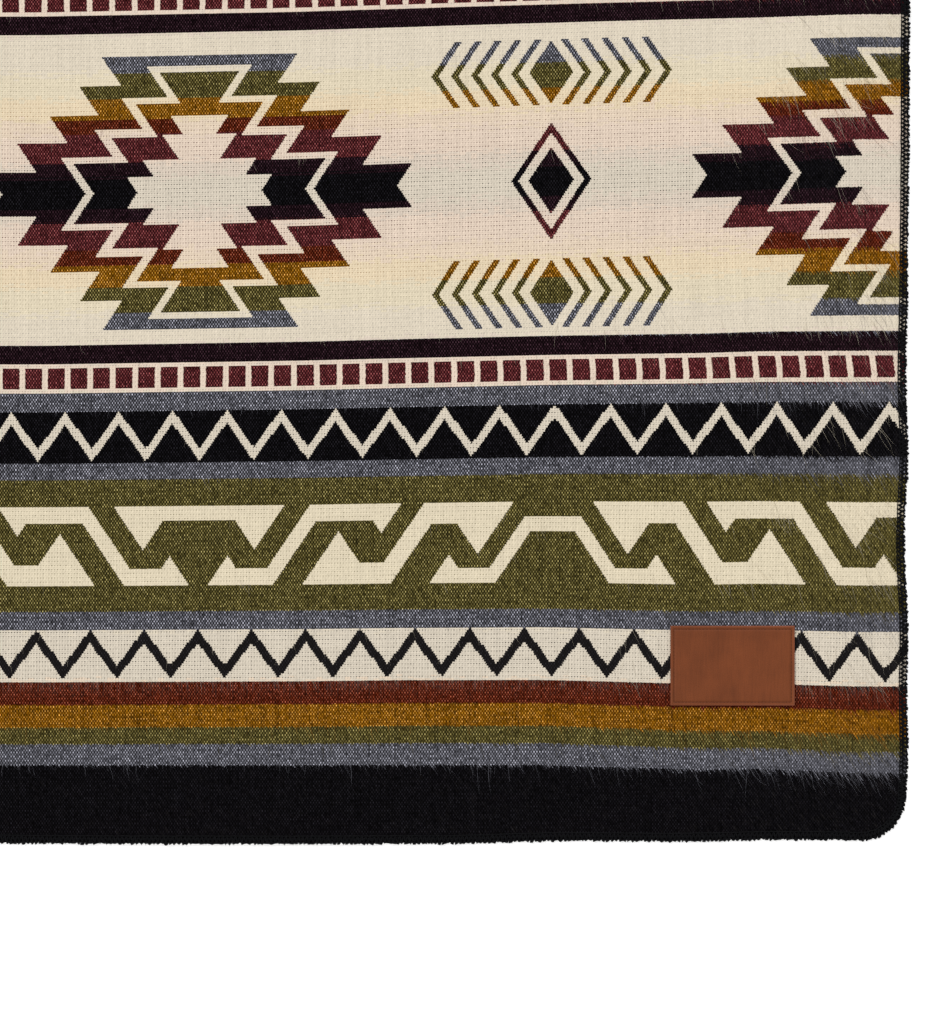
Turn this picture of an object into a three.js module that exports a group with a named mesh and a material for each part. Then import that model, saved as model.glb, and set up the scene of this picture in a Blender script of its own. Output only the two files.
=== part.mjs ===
// A woven wool throw laid out flat: one brushed double cloth with rounded corners, an
// overlocked edge of thick yarn all round it, and a plain leather label near one corner.
// The throw lies along X and Y with its face up, and rests on the plane Z = 0.
import * as THREE from 'three';

// Driving dimensions, in millimetres
const THROW_WIDTH = 1370;
const THROW_LENGTH = 1776;
const CORNER_RADIUS = 32;
const CLOTH_THICKNESS = 2.4;
const OVERLOCK_WIDTH = 6;
const OVERLOCK_THICKNESS = 3.4;
const OVERLOCK_ROUND = 1.1;
const LABEL_WIDTH = 80.6;
const LABEL_HEIGHT = 51.8;
const LABEL_THICKNESS = 1.3;
const LABEL_EDGE_ROUND = 0.3;
const LABEL_FROM_RIGHT = 115;
const LABEL_FROM_BOTTOM = 116;
const CLEARANCE = 0.3;

// How finely the cloth and its corners are faceted
const CELL = 38;
const ARC_STEPS = 8;

// The rounded corners turn about the corners of this inner rectangle
const INNER_X = THROW_WIDTH / 2 - CORNER_RADIUS;
const INNER_Y = THROW_LENGTH / 2 - CORNER_RADIUS;

// Places where the hand-guided edge runs inside the straight line: how far along the side,
// how far to each side it reaches, and how deep it is
const EDGE_DIPS = [
  { side: 'bottom', at: 610, reach: 130, depth: 2.7 },
  { side: 'bottom', at: 470, reach: 95, depth: 2.0 },
  { side: 'bottom', at: -40, reach: 210, depth: 1.4 },
  { side: 'bottom', at: -470, reach: 150, depth: 1.9 },
  { side: 'right', at: -872, reach: 60, depth: 2.0 },
  { side: 'right', at: -788, reach: 60, depth: 1.2 },
  { side: 'right', at: -690, reach: 75, depth: 2.9 },
  { side: 'right', at: -590, reach: 60, depth: 1.4 },
  { side: 'right', at: -545, reach: 120, depth: 1.3 },
  { side: 'right', at: 60, reach: 260, depth: 2.1 },
  { side: 'right', at: 610, reach: 180, depth: 1.5 },
  { side: 'top', at: 380, reach: 240, depth: 1.8 },
  { side: 'top', at: -330, reach: 200, depth: 2.2 },
  { side: 'left', at: 520, reach: 220, depth: 2.0 },
  { side: 'left', at: -80, reach: 180, depth: 1.3 },
  { side: 'left', at: -600, reach: 160, depth: 2.3 },
];

// Low ripples where the cloth stands off the surface: the middle of each, the way it runs in
// degrees from +X, its half length, its half width and its height
const RIPPLES = [
  { x: 690, y: -560, turn: 90, length: 150, width: 70, height: 2.4 },
  { x: 660, y: -300, turn: 78, length: 190, width: 85, height: 3.2 },
  { x: 695, y: 180, turn: 90, length: 260, width: 80, height: 3.6 },
  { x: 640, y: 620, turn: 100, length: 210, width: 90, height: 3.0 },
  { x: 250, y: -895, turn: 0, length: 180, width: 70, height: 2.2 },
  { x: -250, y: -880, turn: 4, length: 230, width: 85, height: 3.4 },
  { x: 180, y: 890, turn: 0, length: 240, width: 80, height: 3.5 },
  { x: -400, y: 870, turn: -8, length: 200, width: 90, height: 4.0 },
  { x: -690, y: 420, turn: 90, length: 260, width: 85, height: 4.2 },
  { x: -670, y: -350, turn: 96, length: 280, width: 90, height: 3.6 },
  { x: -330, y: 330, turn: 62, length: 380, width: 110, height: 4.6 },
  { x: 300, y: 420, turn: 118, length: 330, width: 105, height: 3.8 },
  { x: -300, y: -420, turn: 105, length: 300, width: 110, height: 3.4 },
];

// A smooth hump: 1 in the middle, and 0 from its reach on
function bell(distance, reach) {
  return Math.abs(distance) < reach ? Math.cos((Math.PI * distance) / (2 * reach)) ** 2 : 0;
}

// How far the underside of the cloth stands off the surface at a point
function lift(x, y) {
  return RIPPLES.reduce((height, ripple) => {
    const turn = THREE.MathUtils.degToRad(ripple.turn);
    const along = (x - ripple.x) * Math.cos(turn) + (y - ripple.y) * Math.sin(turn);
    const across = (y - ripple.y) * Math.cos(turn) - (x - ripple.x) * Math.sin(turn);
    return height + ripple.height * bell(along, ripple.length) * bell(across, ripple.width);
  }, 0);
}

function edgeInset(side, at) {
  return EDGE_DIPS.filter((dip) => dip.side === side)
    .reduce((inset, dip) => inset + dip.depth * bell(at - dip.at, dip.reach), 0);
}

// Even steps from one end of a side to the other, both ends included
function steps(from, to) {
  const count = Math.round(Math.abs(to - from) / CELL);
  return Array.from({ length: count + 1 }, (_, i) => from + ((to - from) * i) / count);
}

// Stations round the throw, anticlockwise from the bottom right. Each has the point of the
// inner rectangle that it hangs on, its outward direction and how far the edge dips in
function rimStations() {
  const sides = [
    { side: 'right', angle: 0, next: 'top', corner: [INNER_X, INNER_Y] },
    { side: 'top', angle: 90, next: 'left', corner: [-INNER_X, INNER_Y] },
    { side: 'left', angle: 180, next: 'bottom', corner: [-INNER_X, -INNER_Y] },
    { side: 'bottom', angle: 270, next: 'right', corner: [INNER_X, -INNER_Y] },
  ];
  const stations = [];
  let start = [INNER_X, -INNER_Y];
  for (const { side, angle, next, corner } of sides) {
    const upright = side === 'right' || side === 'left';
    const axis = upright ? 1 : 0;
    for (const at of steps(start[axis], corner[axis])) {
      const base = upright ? [start[0], at] : [at, start[1]];
      stations.push({ base, angle, inset: edgeInset(side, at) });
    }
    const last = edgeInset(side, corner[axis]);
    const first = edgeInset(next, corner[1 - axis]);
    for (let i = 1; i < ARC_STEPS; i += 1) {
      const share = i / ARC_STEPS;
      stations.push({ base: corner, angle: angle + 90 * share, inset: last + (first - last) * share });
    }
    start = corner;
  }
  return stations;
}

// The point of a station that lies a given distance inside the throw's outer edge
function rimPoint({ base, angle, inset }, distanceIn) {
  const out = CORNER_RADIUS - inset - distanceIn;
  const turn = THREE.MathUtils.degToRad(angle);
  return [base[0] + out * Math.cos(turn), base[1] + out * Math.sin(turn)];
}

function solid(points, triangles) {
  const geometry = new THREE.BufferGeometry();
  geometry.setAttribute('position', new THREE.Float32BufferAttribute(points.flat(), 3));
  geometry.setIndex(triangles.flat());
  return geometry;
}

// The cloth: a grid over the inner rectangle and a border strip out to the rounded edge, as
// a face and an underside that are joined by the cut edge
function clothGeometry() {
  const columns = steps(-INNER_X, INNER_X);
  const rows = steps(-INNER_Y, INNER_Y);
  const plan = rows.flatMap((y) => columns.map((x) => [x, y]));
  const gridIndex = (i, j) => j * columns.length + i;
  const gridAt = ([x, y]) => gridIndex(nearest(columns, x), nearest(rows, y));

  const stations = rimStations();
  const rimStart = plan.length;
  for (const station of stations) {
    plan.push(rimPoint(station, OVERLOCK_WIDTH + CLEARANCE));
  }

  const faces = [];
  for (let j = 0; j + 1 < rows.length; j += 1) {
    for (let i = 0; i + 1 < columns.length; i += 1) {
      const [a, b] = [gridIndex(i, j), gridIndex(i + 1, j)];
      const [c, d] = [gridIndex(i + 1, j + 1), gridIndex(i, j + 1)];
      faces.push([a, b, c], [a, c, d]);
    }
  }
  stations.forEach((station, i) => {
    const next = (i + 1) % stations.length;
    const [inner, innerNext] = [gridAt(station.base), gridAt(stations[next].base)];
    faces.push([inner, rimStart + i, rimStart + next]);
    if (inner !== innerNext) {
      faces.push([inner, rimStart + next, innerNext]);
    }
  });

  const under = plan.length;
  const points = [
    ...plan.map(([x, y]) => [x, y, lift(x, y) + CLOTH_THICKNESS]),
    ...plan.map(([x, y]) => [x, y, lift(x, y)]),
  ];
  const triangles = [...faces, ...faces.map(([a, b, c]) => [under + a, under + c, under + b])];
  stations.forEach((_, i) => {
    const [top, topNext] = [rimStart + i, rimStart + ((i + 1) % stations.length)];
    triangles.push([top, under + top, under + topNext], [top, under + topNext, topNext]);
  });
  return solid(points, triangles);
}

function nearest(values, value) {
  return values.reduce((best, v, i) => (Math.abs(v - value) < Math.abs(values[best] - value) ? i : best), 0);
}

// The overlocking, as the rounded band of yarn that it makes round the cloth's edge
function overlockGeometry() {
  const section = [
    { distanceIn: OVERLOCK_WIDTH, height: 0 },
    { distanceIn: OVERLOCK_ROUND, height: 0 },
    { distanceIn: 0, height: OVERLOCK_ROUND },
    { distanceIn: 0, height: OVERLOCK_THICKNESS - OVERLOCK_ROUND },
    { distanceIn: OVERLOCK_ROUND, height: OVERLOCK_THICKNESS },
    { distanceIn: OVERLOCK_WIDTH - OVERLOCK_ROUND, height: OVERLOCK_THICKNESS },
    { distanceIn: OVERLOCK_WIDTH, height: CLOTH_THICKNESS },
  ];
  const stations = rimStations();
  const points = stations.flatMap((station) => {
    const [x, y] = rimPoint(station, OVERLOCK_WIDTH / 2);
    const off = lift(x, y);
    return section.map(({ distanceIn, height }) => [...rimPoint(station, distanceIn), off + height]);
  });
  const triangles = [];
  const sides = section.length;
  stations.forEach((_, i) => {
    const next = (i + 1) % stations.length;
    for (let k = 0; k < sides; k += 1) {
      const [a, b] = [i * sides + k, i * sides + ((k + 1) % sides)];
      const [c, d] = [next * sides + ((k + 1) % sides), next * sides + k];
      triangles.push([a, d, c], [a, c, b]);
    }
  });
  return solid(points, triangles);
}

// The label: a flat piece of leather with its face edges slightly rounded off
function labelGeometry() {
  const halfWidth = LABEL_WIDTH / 2 - LABEL_EDGE_ROUND;
  const halfHeight = LABEL_HEIGHT / 2 - LABEL_EDGE_ROUND;
  const outline = new THREE.Shape();
  outline.moveTo(-halfWidth, -halfHeight);
  outline.lineTo(halfWidth, -halfHeight);
  outline.lineTo(halfWidth, halfHeight);
  outline.lineTo(-halfWidth, halfHeight);
  outline.closePath();
  const geometry = new THREE.ExtrudeGeometry(outline, {
    depth: LABEL_THICKNESS - 2 * LABEL_EDGE_ROUND,
    bevelThickness: LABEL_EDGE_ROUND,
    bevelSize: LABEL_EDGE_ROUND,
    bevelSegments: 2,
  });
  geometry.translate(0, 0, LABEL_EDGE_ROUND);
  return geometry;
}

function piece(name, geometry, color, roughness) {
  const material = new THREE.MeshStandardMaterial({ color, roughness, metalness: 0 });
  const mesh = new THREE.Mesh(geometry, material);
  mesh.name = name;
  return mesh;
}

const wovenCloth = piece('woven_cloth', clothGeometry(), 0xddd1b7, 0.95);
const edgeOverlock = piece('edge_overlock', overlockGeometry(), 0x141416, 0.9);
const leatherLabel = piece('leather_label', labelGeometry(), 0x794228, 0.6);
leatherLabel.position.set(
  THROW_WIDTH / 2 - LABEL_FROM_RIGHT,
  -THROW_LENGTH / 2 + LABEL_FROM_BOTTOM,
  CLOTH_THICKNESS + CLEARANCE,
);

const woolThrow = new THREE.Group();
woolThrow.add(wovenCloth, edgeOverlock, leatherLabel);

export default woolThrow;
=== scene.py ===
"""A wool throw lying flat: its woven pattern, overlocked edge, loose fibres and label.

Shapes are worked out in millimetres. The pattern is charted on the cloth's own columns
and rows. The functions that chart it take numpy arrays or chains of shader nodes alike, so
loose fibres have the colour of the yarn that they come from.
"""
from functools import partialmethod

import bpy
import numpy as np
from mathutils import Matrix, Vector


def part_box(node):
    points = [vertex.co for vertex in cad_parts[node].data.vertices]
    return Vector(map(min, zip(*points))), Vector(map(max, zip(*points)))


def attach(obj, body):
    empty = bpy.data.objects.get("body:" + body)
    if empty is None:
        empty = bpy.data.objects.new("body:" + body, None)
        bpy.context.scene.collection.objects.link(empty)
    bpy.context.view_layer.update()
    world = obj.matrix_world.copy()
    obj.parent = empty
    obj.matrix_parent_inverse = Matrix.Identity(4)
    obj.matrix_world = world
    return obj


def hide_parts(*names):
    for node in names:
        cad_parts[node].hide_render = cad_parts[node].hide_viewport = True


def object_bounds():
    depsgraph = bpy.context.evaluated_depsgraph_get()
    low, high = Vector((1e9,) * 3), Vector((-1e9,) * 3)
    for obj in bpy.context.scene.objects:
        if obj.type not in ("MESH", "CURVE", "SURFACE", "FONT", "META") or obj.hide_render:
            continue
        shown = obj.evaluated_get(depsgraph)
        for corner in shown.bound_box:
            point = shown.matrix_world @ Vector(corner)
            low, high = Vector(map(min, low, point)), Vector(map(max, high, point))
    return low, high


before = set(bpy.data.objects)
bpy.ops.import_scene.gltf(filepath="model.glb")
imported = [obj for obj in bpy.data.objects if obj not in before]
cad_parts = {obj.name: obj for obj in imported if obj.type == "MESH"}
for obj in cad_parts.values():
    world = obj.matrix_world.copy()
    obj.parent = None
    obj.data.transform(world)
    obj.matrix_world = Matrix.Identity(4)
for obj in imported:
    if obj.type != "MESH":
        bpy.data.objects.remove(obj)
cad_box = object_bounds()

MM = 0.001
WIDTH, LENGTH = [(high - low) / MM for low, high in zip(*cad_box)][:2]
LABEL_LOW, LABEL_HIGH = [np.array(corner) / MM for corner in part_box("leather_label")]

# The cloth's and the edge's sizes, as in the part
CORNER_RADIUS = 32
INNER_X, INNER_Y = WIDTH / 2 - CORNER_RADIUS, LENGTH / 2 - CORNER_RADIUS
CLOTH_THICKNESS = 2.4
EDGE_THICKNESS = 3.4
OVERLOCK_WIDTH = 6

# How the cloth thins where the edge yarn holds it, and how far it stays inside the yarn
PINCHED_THICKNESS = 1.5
PINCHED_LIFT = 0.85
CUT_EDGE_IN = 1.0

# The weave: one repeat of the pattern's columns, all rows from one end to the other, a star's
# axis, and the width of a column, which grows a little to the right of that axis
REPEAT = 248
ROWS = 656.5
STAR_AXIS_X = WIDTH / 2 - 461.3
COLUMN = 1.834
COLUMN_GROWTH = 0.00016
ROW = LENGTH / ROWS

# How far the weft climbs out of line near the labelled corner, in mm: each row of the
# table is a height above the bottom edge, each column a distance from the right edge
CLIMB_ACROSS = (35, 97, 136, 237, 331, 396, 562)
CLIMB_UP = (0, 51, 76, 123, 152, 195, 237, 265, 325, 431, 1100)
CLIMB = [
    (0, 0, 0, 0, 0, 0, 0),
    (-5.8, -2.6, -3.2, 0, 0, 0, 0),
    (-3.9, -1.9, -1.9, 1.3, 1.3, 0.6, 0),
    (-2.5, -1.0, -1.4, 1.0, 0.7, 0, -0.7),
    (-0.6, 0.6, 0, 1.9, 1.3, 0.6, -0.3),
    (1.9, 2.8, 2.2, 3.0, 2.2, 1.2, -0.2),
    (3.6, 4.2, 4.0, 4.0, 2.4, 1.4, -0.3),
    (4.9, 5.2, 4.8, 4.2, 2.4, 1.2, -0.7),
    (8.3, 8.0, 6.8, 5.5, 3.4, 1.8, -0.8),
    (14.9, 13.0, 12.1, 8.9, 5.5, 3.1, -0.6),
    (0, 0, 0, 0, 0, 0, 0),
]

# How far the warp sways sideways with the height above the bottom edge, in mm: all over,
# and how much more towards the right edge
SWAY_UP = (60, 123, 195, 265, 306, 336, 386, 422)
SWAY = (-1.4, -1.3, -0.6, 0.0, 0.4, 0.7, 0.3, 0.0)
RIGHT_SWAY = (0.3, 0.3, 0.2, 1.4, 2.0, -2.4, -3.2, -2.4)

# The cloth's facets and the small unevenness of its face
CELL = 11
ARC_STEPS = 14
BORDER_RINGS = 5

SEED = 7
UP = np.array([0.0, 0.0, 1.0])

# Places where the hand-guided edge runs inside the straight line: how far along the side,
# how far to each side it reaches, and how deep it is
EDGE_DIPS = {
    "bottom": [(610, 130, 2.7), (470, 95, 2.0), (-40, 210, 1.4), (-470, 150, 1.9)],
    "right": [(-872, 60, 2.0), (-788, 60, 1.2), (-690, 75, 2.9), (-590, 60, 1.4),
              (-545, 120, 1.3), (60, 260, 2.1), (610, 180, 1.5)],
    "top": [(380, 240, 1.8), (-330, 200, 2.2)],
    "left": [(520, 220, 2.0), (-80, 180, 1.3), (-600, 160, 2.3)],
}

# Low ripples: the middle of each, its turn in degrees from +X, its half length, its half
# width and its height
RIPPLES = [
    (690, -560, 90, 150, 70, 2.4),
    (660, -300, 78, 190, 85, 3.2),
    (695, 180, 90, 260, 80, 3.6),
    (640, 620, 100, 210, 90, 3.0),
    (250, -895, 0, 180, 70, 2.2),
    (-250, -880, 4, 230, 85, 3.4),
    (180, 890, 0, 240, 80, 3.5),
    (-400, 870, -8, 200, 90, 4.0),
    (-690, 420, 90, 260, 85, 4.2),
    (-670, -350, 96, 280, 90, 3.6),
    (-330, 330, 62, 380, 110, 4.6),
    (300, 420, 118, 330, 105, 3.8),
    (-300, -420, 105, 300, 110, 3.4),
]


def bell(distance, reach):
    """A smooth hump: 1 in the middle, and 0 from its reach on."""
    inside = np.clip(np.abs(distance) / reach, 0, 1)
    return np.cos(np.pi / 2 * inside) ** 2


def lift(x, y):
    """How far the underside of the cloth stands off the surface."""
    height = np.zeros_like(x)
    for at_x, at_y, turn, length, width, top in RIPPLES:
        c, s = np.cos(np.radians(turn)), np.sin(np.radians(turn))
        along = (x - at_x) * c + (y - at_y) * s
        across = (y - at_y) * c - (x - at_x) * s
        height += top * bell(along, length) * bell(across, width)
    return height


def cockle(x, y):
    """The small unevenness that the weave's tension leaves in the cloth's face."""
    waves = [(0.071, 0.043, 0.13), (-0.052, 0.096, 0.10), (0.134, 0.021, 0.07), (0.017, -0.151, 0.06)]
    return sum(size * np.sin(kx * x + ky * y + 9 * kx) for kx, ky, size in waves)


# The outline that every piece at the edge follows

def rim_stations():
    """Stations round the throw, anticlockwise from the bottom right, a row for each: the
    point of the inner rectangle that it hangs on, its outward angle and the edge's dip."""
    corners = np.array([(1, -1), (1, 1), (-1, 1), (-1, -1)]) * [INNER_X, INNER_Y]
    sides = ["right", "top", "left", "bottom"]

    def dip(side, at):
        return sum(depth * bell(at - place, reach) for place, reach, depth in EDGE_DIPS[side])

    stations = []
    for i, side in enumerate(sides):
        start, end = corners[i], corners[(i + 1) % 4]
        axis = 1 - i % 2
        points = np.linspace(start, end, round(np.abs(end - start).sum() / CELL) + 1)
        angles = np.full(len(points), 90 * i)
        stations.append(np.column_stack([points, angles, dip(side, points[:, axis])]))
        turn = np.arange(1, ARC_STEPS) / ARC_STEPS
        last, first = dip(side, end[axis]), dip(sides[(i + 1) % 4], end[1 - axis])
        insets = last + (first - last) * turn
        stations.append(np.column_stack([np.tile(end, (len(turn), 1)), 90 * (i + turn), insets]))
    return np.concatenate(stations) * [1, 1, np.pi / 180, 1]


STATIONS = rim_stations()


def rim_points(distance_in):
    """The points of all stations at a distance inside the throw's outer edge."""
    x, y, angle, inset = STATIONS.T
    out = CORNER_RADIUS - inset - distance_in
    return np.column_stack([x + out * np.cos(angle), y + out * np.sin(angle)])


class EdgeLine:
    """The outline by its length, so that stitches can be set along it."""

    def __init__(self):
        points = rim_points(0)
        steps = np.linalg.norm(np.roll(points, -1, 0) - points, axis=1)
        self.at = np.concatenate([[0], np.cumsum(steps)])
        self.length = self.at[-1]
        full_turn = STATIONS[:1] + [0, 0, 2 * np.pi, 0]
        self.columns = np.concatenate([STATIONS, full_turn]).T

    def point(self, along, distance_in, height):
        """Points in space, from the length along the edge, the distance in from it and
        the height over the cloth's underside."""
        along = along % self.length
        x, y, angle, inset = (np.interp(along, self.at, column) for column in self.columns)
        out = CORNER_RADIUS - inset - distance_in
        x, y = x + out * np.cos(angle), y + out * np.sin(angle)
        return np.stack([x, y, lift(x, y) + height], -1)


# Colours, as linear light, of the yarns, the leather and the threads

def linear(red, green, blue):
    """A colour from its display values out of 255."""
    share = np.array([red, green, blue]) / 255
    return tuple(np.where(share > 0.04045, ((share + 0.055) / 1.055) ** 2.4, share / 12.92))


YARNS = {
    "black": linear(12, 11, 14),
    "aubergine": linear(30, 16, 22),
    "maroon": linear(83, 36, 39),
    "rust": linear(86, 33, 19),
    "gold": linear(127, 81, 15),
    "olive": linear(85, 77, 41),
    "grey": linear(91, 91, 98),
    "cream": linear(226, 215, 192),
}
LEATHER = linear(116, 60, 30)
# The leather's paler rim: partly its pale cut edge, partly a painted highlight
CUT_EDGE_AND_HIGHLIGHT_LEATHER = linear(168, 104, 84)
PRESSED_LEATHER = linear(72, 34, 20)
EDGE_YARN = linear(14, 14, 17)
LABEL_THREAD = linear(98, 51, 30)

# Stray pale fibres that lie over the coloured yarns, and painted sheen where the nap is raised
PALE_DUST_AND_SHEEN = linear(165, 155, 150)

# The cream yarn as it looks where the yarn behind it shines through
CREAM_OVER = {
    "black": linear(219, 208, 190),
    "aubergine": linear(222, 207, 190),
    "maroon": linear(229, 210, 191),
    "rust": linear(230, 211, 188),
    "gold": linear(231, 213, 182),
    "olive": linear(227, 214, 187),
    "grey": linear(224, 212, 191),
}

# Bands of yarn, each as the row where it ends and its colour. The first ones run from the
# throw's end, the next from the middle of a meander band, and the last from a star's middle
END_BANDS = [(19, "black"), (24, "grey"), (28, "olive"), (33.5, "gold"), (39, "rust"),
             (51.5, "black"), (55.9, "grey")]
CORE_BANDS = [(15.75, "olive"), (19.75, "grey"), (32.25, "black"), (36.75, "grey"),
              (43.75, "maroon"), (48.15, "aubergine")]
STAR_BANDS = [(3.9, "black"), (7.2, "aubergine"), (13.7, "maroon"), (17.4, "rust"),
              (22.6, "gold"), (28.7, "olive"), (40, "grey")]

# Where the pattern's parts lie, in rows: the ends' from the throw's end, and the cores' to
# each side of their middles
END_ROWS = 56
CORE_ROWS = 48.25
MEANDER_MIDDLES = (71.75, 242.75)
STAR_MIDDLES = (156.25, 328.25)

# The zigzags: a pale one over black in each core, and a black one over cream at each end
ZIGZAG = REPEAT / 13
PALE_ZIGZAG = {"valley": 21.7, "rise": 9.0, "half": 1.5, "band": (19.75, 32.25)}
DARK_ZIGZAG = {"peak": 50.0, "fall": 8.6, "half": 1.66, "band": (39, 51.5)}

# The row of squares: its pitch and each square's share of it, and its rows
SQUARE = {"pitch": 8, "wide": 6.5, "rows": (37.75, 42.75), "band": (36.75, 43.75)}

# The star's outlines, each as steps: from a row on, how far a diagonal that starts on the
# star's middle line stands from its axis. What is FAR off bounds nothing that shows
FAR = 999
STAR_EDGE = [(0, 70.1), (5.25, 52.7), (12.25, 34.5), (18.75, 17.0), (25.75, 1.8), (32.75, -FAR)]
CHANNEL_EDGE = [(0, 40.3), (8.75, 22.0), (15.25, 5.2), (22.75, -11.6), (30.25, -FAR)]
RING_EDGE = [(0, 37.3), (7.25, 18.2), (13.25, 1.4), (21.25, -14.7), (28.75, -FAR)]
HEART_EDGE = [(0, 21.9), (3.75, 12.3), (7.75, -0.5), (13.75, -8.0), (18.25, -FAR)]

# The hooks of the meander, by rows down from its top. Each is a bar and, below it, a foot,
# joined by a slope, between rising and falling diagonals. hook names the columns
HOOKS = [
    (FAR, 0, 19, (-FAR, -FAR), 30.1, 9.4, (0, 3.5)),
    (22, -1.5, 14.9, (39.2, 45.3), 71.1, 57, (0, 3.9)),
    (55.6, 43, 13.8, (79.2, 86.7), 110.3, 85.8, (0, 5.15)),
    (100.1, 75.8, 15.3, (117.7, 123.3), FAR, FAR, (3.3, 7.2)),
]
MEANDER_ROWS = 19

# The small figures between the stars
SMALL_DIAMOND = 7.8
DIAMOND_RING = (11.4, 14.0)
CHEVRONS = {"from_middle": 26.2, "first": 11.5, "last": 42, "pitch": 7, "thick": 2.5, "half": 7.8}


class Field:
    """A number that varies over a surface, made by a chain of math nodes."""

    def __init__(self, tree, socket):
        self.tree = tree
        self.socket = socket

    def apply(self, operation, *others):
        inputs = dict(enumerate((self, *others)))
        node = add_node(self.tree, "Math", inputs, operation=operation)
        return Field(self.tree, node.outputs[0])

    def __rsub__(self, other):
        return self.apply("MULTIPLY_ADD", -1.0, other)

    def __invert__(self):
        return self.apply("MULTIPLY_ADD", -1.0, 1.0)

    def __abs__(self):
        return self.apply("ABSOLUTE")


OPERATORS = {"__add__": "ADD", "__radd__": "ADD", "__sub__": "SUBTRACT", "__mul__": "MULTIPLY",
             "__rmul__": "MULTIPLY", "__truediv__": "DIVIDE", "__mod__": "FLOORED_MODULO",
             "__lt__": "LESS_THAN", "__gt__": "GREATER_THAN", "__and__": "MINIMUM",
             "__or__": "MAXIMUM"}
for name, operation in OPERATORS.items():
    setattr(Field, name, partialmethod(Field.apply, operation))


def add_node(tree, kind, inputs, **settings):
    """A node with its settings and its inputs, each a constant, a field or a socket."""
    node = tree.nodes.new(f"ShaderNode{kind}")
    for name, value in settings.items():
        setattr(node, name, value)
    for place, value in inputs.items():
        socket = node.inputs[place]
        if isinstance(value, Field):
            tree.links.new(value.socket, socket)
        elif isinstance(value, bpy.types.NodeSocket):
            tree.links.new(value, socket)
        elif isinstance(value, tuple):
            socket.default_value = (*value, 1.0)[:len(socket.default_value)]
        else:
            socket.default_value = value
    return node


def floor(value):
    return value.apply("FLOOR") if isinstance(value, Field) else np.floor(value)


def least(a, b):
    return a.apply("MINIMUM", b) if isinstance(a, Field) else np.minimum(a, b)


def pick(test, yes, no):
    """One value where a test holds, and another where it doesn't."""
    return no + (yes - no) * test


def between(value, low, high):
    return (value > low) & (value < high)


# The chart of the pattern

def fold_rows(row):
    """Rows from the nearer end: the throw's two halves mirror each other."""
    return least(row, ROWS - row)


def fold_columns(column):
    """Columns from the nearest star axis, up to half a repeat."""
    return abs((column + REPEAT / 2) % REPEAT - REPEAT / 2)


def meander_row(row):
    """Rows up from the middle of the nearer meander band."""
    near, far = MEANDER_MIDDLES
    return row - pick(row > STAR_MIDDLES[0], far, near)


def star_row(row):
    """Rows from the middle of the nearer row of stars."""
    near, far = STAR_MIDDLES
    return abs(row - pick(row > MEANDER_MIDDLES[1], far, near))


def band_place(row):
    """One scale on which all bands of yarn follow each other."""
    core = abs(meander_row(row))
    beyond_end = pick(core < CORE_ROWS, END_ROWS + core, END_ROWS + CORE_ROWS + star_row(row))
    return pick(row < END_ROWS, row, beyond_end)


def all_bands():
    """Where each band ends on that scale, and its yarn."""
    bands = list(END_BANDS)
    for start, part in ((END_ROWS, CORE_BANDS), (END_ROWS + CORE_ROWS, STAR_BANDS)):
        bands += [(start + end, yarn) for end, yarn in part]
    return bands


def stepped(row, steps):
    """The value of a table of steps at a row."""
    value = steps[0][1]
    for (_, before), (start, after) in zip(steps, steps[1:]):
        value = value + (after - before) * (row > start)
    return value


def star(column, row):
    """The big stepped star, with its pale channel and pale heart left open."""
    diagonal = column - row
    channel = (diagonal < stepped(row, CHANNEL_EDGE)) & ~(diagonal < stepped(row, RING_EDGE))
    heart = diagonal < stepped(row, HEART_EDGE)
    return (diagonal < stepped(row, STAR_EDGE)) & ~channel & ~heart


def small_figures(column, row):
    """The ringed diamond between two stars, and the diamonds with chevrons beside it."""
    ring = column + row
    diamond = (ring < SMALL_DIAMOND) | between(ring, *DIAMOND_RING)
    from_line = abs(row - CHEVRONS["from_middle"])
    arrow = column + from_line
    chevrons = between(arrow, CHEVRONS["first"], CHEVRONS["last"])
    chevrons = chevrons & ((arrow - CHEVRONS["first"]) % CHEVRONS["pitch"] < CHEVRONS["thick"])
    chevrons = chevrons & (from_line < CHEVRONS["half"])
    return diamond | (arrow < SMALL_DIAMOND) | chevrons


def hook(rising, falling, row, shape):
    """One hook of the meander, bounded by its diagonals."""
    foot_start, foot_notch, notch_last_row, slope_ends, bar_end, bar_notch, bar_rows = shape
    foot = between(rising, foot_start, slope_ends[1])
    foot = foot & ((falling < foot_notch) | (row > notch_last_row))
    slope = between(rising, *slope_ends) & (row > bar_rows[0])
    bar = between(rising, slope_ends[0], bar_end) & (row > bar_rows[0])
    bar = bar & ((row < bar_rows[1]) | (falling > bar_notch))
    return foot | slope | bar


def meander(column, row):
    """The pale hooked figure, by rows down from its top."""
    rising, falling = column + row, column - row
    figure = hook(rising, falling, row, HOOKS[0])
    for shape in HOOKS[1:]:
        figure = figure | hook(rising, falling, row, shape)
    return figure & between(row, 0, MEANDER_ROWS)


def zigzag_wave(column):
    """0 on a star axis and 1 half a zigzag away from it."""
    return abs((column / ZIGZAG + 0.5) % 1 - 0.5) * 2


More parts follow.
